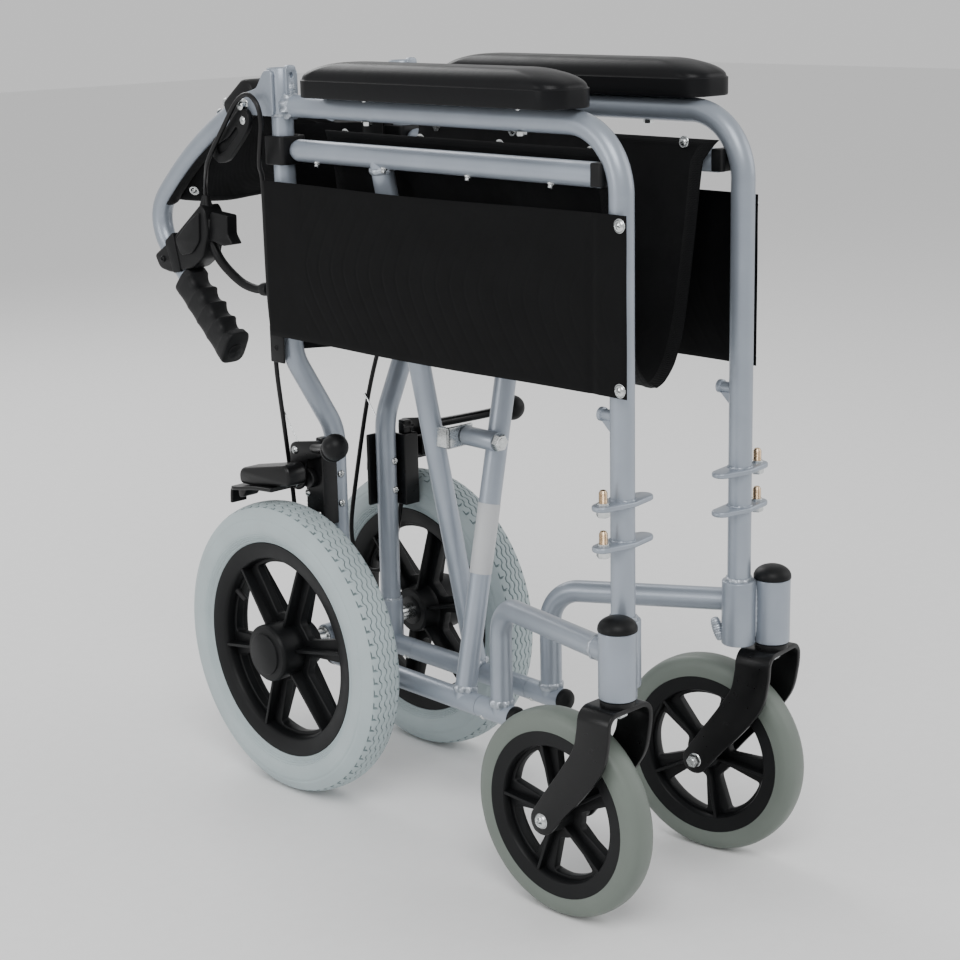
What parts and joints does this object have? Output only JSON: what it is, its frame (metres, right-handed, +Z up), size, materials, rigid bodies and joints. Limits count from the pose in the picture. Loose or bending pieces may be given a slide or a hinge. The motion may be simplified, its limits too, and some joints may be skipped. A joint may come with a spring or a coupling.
{
  "type": "folding attendant-propelled wheelchair",
  "caption": "Folding attendant-propelled wheelchair, folded flat: tube side frames, cross brace, cloth seat and back, grey tyres, castors, brakes and a half-folding back.",
  "frame": {"origin": "on the floor, at the bottom centre of the folded chair's box", "axes": "+Z up, the chair faces -Y, +X is the occupant's left"},
  "size_m": [0.2884, 0.7472, 0.773],
  "materials": {
    "frame_silver": "satin light blue-grey metallic paint",
    "black_plastic": "moulded black plastic",
    "black_steel": "black powder coat",
    "pad_skin": "black moulded polyurethane foam",
    "panel": "black textured panel",
    "nylon_cloth": "black woven nylon",
    "rear_tyre": "pale blue-grey rubber",
    "castor_tyre": "greenish grey solid rubber",
    "zinc": "zinc plated steel",
    "cable_sheath": "black cable sheath",
    "grip_rubber": "black ribbed rubber"
  },
  "bodies": {
    "frame_right": {"front_post_right": "frame_silver", "lower_tube_right": "frame_silver", "rear_post_right": "frame_silver", "arm_pad_right": "pad_skin", "side_panel_right": "panel", "rear_axle_right": "zinc", "barrel_cap_right": "black_plastic", "wheel_brake_right": "black_steel", "brake_cable_right": "cable_sheath"},
    "frame_left": {"front_post_left": "frame_silver", "lower_tube_left": "frame_silver", "rear_post_left": "frame_silver", "arm_pad_left": "pad_skin", "side_panel_left": "panel", "rear_axle_left": "zinc", "barrel_cap_left": "black_plastic", "wheel_brake_left": "black_steel", "brake_cable_left": "cable_sheath"},
    "brace_a": {"cross_bar_a": "frame_silver", "seat_rail_left": "frame_silver", "pivot_bolt": "zinc"},
    "brace_b": {"cross_bar_b": "frame_silver", "seat_rail_right": "frame_silver"},
    "guides_right": {"ring_guide_right": "black_plastic", "saddle_guide_right": "black_plastic"},
    "seat_centre_right": {"seat_sling_right": "nylon_cloth"},
    "back_right": {"back_tube_right": "frame_silver", "hand_grip_right": "grip_rubber", "hand_brake_body_right": "black_plastic"},
    "back_centre_right": {"back_cloth_right": "nylon_cloth"},
    "lower_centre_right": {"lower_back_cloth_right": "nylon_cloth"},
    "castor_fork_right": {"castor_fork_right": "black_plastic", "castor_axle_right": "zinc"},
    "castor_wheel_right": {"castor_wheel_right": "black_plastic", "castor_tyre_right": "castor_tyre"},
    "rear_wheel_right": {"rear_wheel_right": "black_plastic", "rear_tyre_right": "rear_tyre"},
    "hand_brake_lever_right": {"hand_brake_lever_right": "black_plastic"},
    "brake_lever_right": {"brake_lever_right": "black_plastic"},
    "brake_shoe_right": {"brake_shoe_right": "black_steel"},
    "back_release_right": {"back_release_right": "black_plastic"},
    "guides_left": {"ring_guide_left": "black_plastic", "saddle_guide_left": "black_plastic"},
    "seat_centre_left": {"seat_sling_left": "nylon_cloth"},
    "back_left": {"back_tube_left": "frame_silver", "hand_grip_left": "grip_rubber", "hand_brake_body_left": "black_plastic"},
    "back_centre_left": {"back_cloth_left": "nylon_cloth"},
    "lower_centre_left": {"lower_back_cloth_left": "nylon_cloth"},
    "castor_fork_left": {"castor_fork_left": "black_plastic", "castor_axle_left": "zinc"},
    "castor_wheel_left": {"castor_wheel_left": "black_plastic", "castor_tyre_left": "castor_tyre"},
    "rear_wheel_left": {"rear_wheel_left": "black_plastic", "rear_tyre_left": "rear_tyre"},
    "hand_brake_lever_left": {"hand_brake_lever_left": "black_plastic"},
    "brake_lever_left": {"brake_lever_left": "black_plastic"},
    "brake_shoe_left": {"brake_shoe_left": "black_steel"},
    "back_release_left": {"back_release_left": "black_plastic"}
  },
  "joints": [
    {"name": "fold_open", "type": "hinge", "parent": "frame_right", "child": "brace_a", "pos_m": [-0.03136, -0.05321, 0.133], "axis": [0, 1, 0], "range_deg": [0, 38.9], "deforming": ["seat_sling_right", "seat_sling_left", "back_cloth_right", "back_cloth_left", "lower_back_cloth_right", "lower_back_cloth_left"]},
    {"name": "brace_cross", "type": "hinge", "parent": "brace_a", "child": "brace_b", "pos_m": [0.00364, -0.05321, 0.4], "axis": [0, 1, 0], "range_deg": [-78.1, 0.3]},
    {"name": "brace_foot_left", "type": "hinge", "parent": "brace_b", "child": "frame_left", "pos_m": [0.03864, -0.05321, 0.133], "axis": [0, 1, 0], "range_deg": [-0.3, 39.2]},
    {"name": "rail_turn_left", "type": "hinge", "parent": "brace_a", "child": "guides_left", "pos_m": [0.08164, -0.05321, 0.683], "axis": [0, 1, 0], "range_deg": [-39.2, 0.3]},
    {"name": "rail_turn_right", "type": "hinge", "parent": "brace_b", "child": "guides_right", "pos_m": [-0.07436, -0.05321, 0.683], "axis": [0, 1, 0], "range_deg": [-0.3, 39.2]},
    {"name": "seat_drop_left", "type": "hinge", "parent": "brace_a", "child": "seat_centre_left", "pos_m": [-0.08876, -0.05321, 0.3673], "axis": [0, 1, 0], "range_deg": [-39.2, 0.3]},
    {"name": "seat_drop_right", "type": "hinge", "parent": "brace_b", "child": "seat_centre_right", "pos_m": [0.09604, -0.05321, 0.3673], "axis": [0, 1, 0], "range_deg": [-0.3, 39.2]},
    {"name": "back_fold_right", "type": "hinge", "parent": "frame_right", "child": "back_right", "pos_m": [-0.07676, 0.18279, 0.7275], "axis": [1, 0, 0], "range_deg": [0, 126], "deforming": ["brake_cable_right", "back_cloth_right"]},
    {"name": "back_spread_right", "type": "slide", "parent": "back_right", "child": "back_centre_right", "axis": [0.8523, 0.522, 0.032], "range_m": [-0.002, 0.1897]},
    {"name": "lower_back_spread_right", "type": "slide", "parent": "frame_right", "child": "lower_centre_right", "axis": [0.9611, 0.2763, 0], "range_m": [-0.002, 0.1685]},
    {"name": "castor_swivel_right", "type": "hinge", "parent": "frame_right", "child": "castor_fork_right", "pos_m": [-0.10386, -0.33911, 0.25], "axis": [0, 0, 1], "continuous": true},
    {"name": "castor_spin_right", "type": "hinge", "parent": "castor_fork_right", "child": "castor_wheel_right", "pos_m": [-0.10651, -0.27317, 0.1], "axis": [0.9992, 0.0401, 0], "continuous": true},
    {"name": "rear_wheel_spin_right", "type": "hinge", "parent": "frame_right", "child": "rear_wheel_right", "pos_m": [-0.09206, 0.14678, 0.158], "axis": [1, 0, 0], "continuous": true},
    {"name": "hand_brake_right", "type": "hinge", "parent": "back_right", "child": "hand_brake_lever_right", "pos_m": [-0.07676, 0.27479, 0.588], "axis": [1, 0, 0], "range_deg": [0, 20], "stiffness_Nm_per_rad": 0.5, "springref_deg": -11.46},
    {"name": "parking_brake_right", "type": "hinge", "parent": "frame_right", "child": "brake_lever_right", "pos_m": [-0.06636, 0.13678, 0.34], "axis": [1, 0, 0], "range_deg": [0, 35]},
    {"name": "brake_shoe_press_right", "type": "hinge", "parent": "frame_right", "child": "brake_shoe_right", "pos_m": [-0.05636, 0.13678, 0.34], "axis": [1, 0, 0], "range_deg": [-6, 1]},
    {"name": "back_latch_right", "type": "hinge", "parent": "frame_right", "child": "back_release_right", "pos_m": [-0.09636, 0.17878, 0.712], "axis": [1, 0, 0], "range_deg": [0, 15], "stiffness_Nm_per_rad": 0.3, "springref_deg": -11.46},
    {"name": "back_fold_left", "type": "hinge", "parent": "frame_left", "child": "back_left", "pos_m": [0.08404, 0.18279, 0.7275], "axis": [1, 0, 0], "range_deg": [-0.3, 126.3], "deforming": ["brake_cable_left", "back_cloth_left"]},
    {"name": "back_spread_left", "type": "slide", "parent": "back_left", "child": "back_centre_left", "axis": [-0.8523, 0.522, 0.032], "range_m": [-0.002, 0.1897]},
    {"name": "lower_back_spread_left", "type": "slide", "parent": "frame_left", "child": "lower_centre_left", "axis": [-0.9611, 0.2763, 0], "range_m": [-0.002, 0.1685]},
    {"name": "castor_swivel_left", "type": "hinge", "parent": "frame_left", "child": "castor_fork_left", "pos_m": [0.11114, -0.33911, 0.25], "axis": [0, 0, 1], "continuous": true},
    {"name": "castor_spin_left", "type": "hinge", "parent": "castor_fork_left", "child": "castor_wheel_left", "pos_m": [0.10048, -0.27398, 0.1], "axis": [0.9869, 0.1616, 0], "continuous": true},
    {"name": "rear_wheel_spin_left", "type": "hinge", "parent": "frame_left", "child": "rear_wheel_left", "pos_m": [0.09934, 0.14678, 0.158], "axis": [1, 0, 0], "continuous": true},
    {"name": "hand_brake_left", "type": "hinge", "parent": "back_left", "child": "hand_brake_lever_left", "pos_m": [0.08404, 0.27479, 0.588], "axis": [1, 0, 0], "range_deg": [0, 20], "stiffness_Nm_per_rad": 0.5, "springref_deg": -11.46},
    {"name": "parking_brake_left", "type": "hinge", "parent": "frame_left", "child": "brake_lever_left", "pos_m": [0.07364, 0.13678, 0.34], "axis": [1, 0, 0], "range_deg": [0, 35]},
    {"name": "brake_shoe_press_left", "type": "hinge", "parent": "frame_left", "child": "brake_shoe_left", "pos_m": [0.06364, 0.13678, 0.34], "axis": [1, 0, 0], "range_deg": [-6, 1]},
    {"name": "back_latch_left", "type": "hinge", "parent": "frame_left", "child": "back_release_left", "pos_m": [0.10364, 0.17878, 0.712], "axis": [1, 0, 0], "range_deg": [0, 15], "stiffness_Nm_per_rad": 0.3, "springref_deg": -11.46}
  ],
  "couplings": [
    {"joint": "brace_cross", "follows": "fold_open", "ratio": -2},
    {"joint": "brace_foot_left", "follows": "fold_open", "ratio": 1},
    {"joint": "rail_turn_left", "follows": "fold_open", "ratio": -1},
    {"joint": "rail_turn_right", "follows": "fold_open", "ratio": 1},
    {"joint": "seat_drop_left", "follows": "fold_open", "ratio": -1},
    {"joint": "seat_drop_right", "follows": "fold_open", "ratio": 1},
    {"joint": "back_spread_right", "follows": "fold_open", "m_per_rad": 0.2765},
    {"joint": "lower_back_spread_right", "follows": "fold_open", "m_per_rad": 0.24521},
    {"joint": "brake_shoe_press_right", "follows": "parking_brake_right", "ratio": -0.12},
    {"joint": "back_fold_left", "follows": "back_fold_right", "ratio": 1},
    {"joint": "back_spread_left", "follows": "fold_open", "m_per_rad": 0.2765},
    {"joint": "lower_back_spread_left", "follows": "fold_open", "m_per_rad": 0.24521},
    {"joint": "brake_shoe_press_left", "follows": "parking_brake_left", "ratio": -0.12}
  ]
}
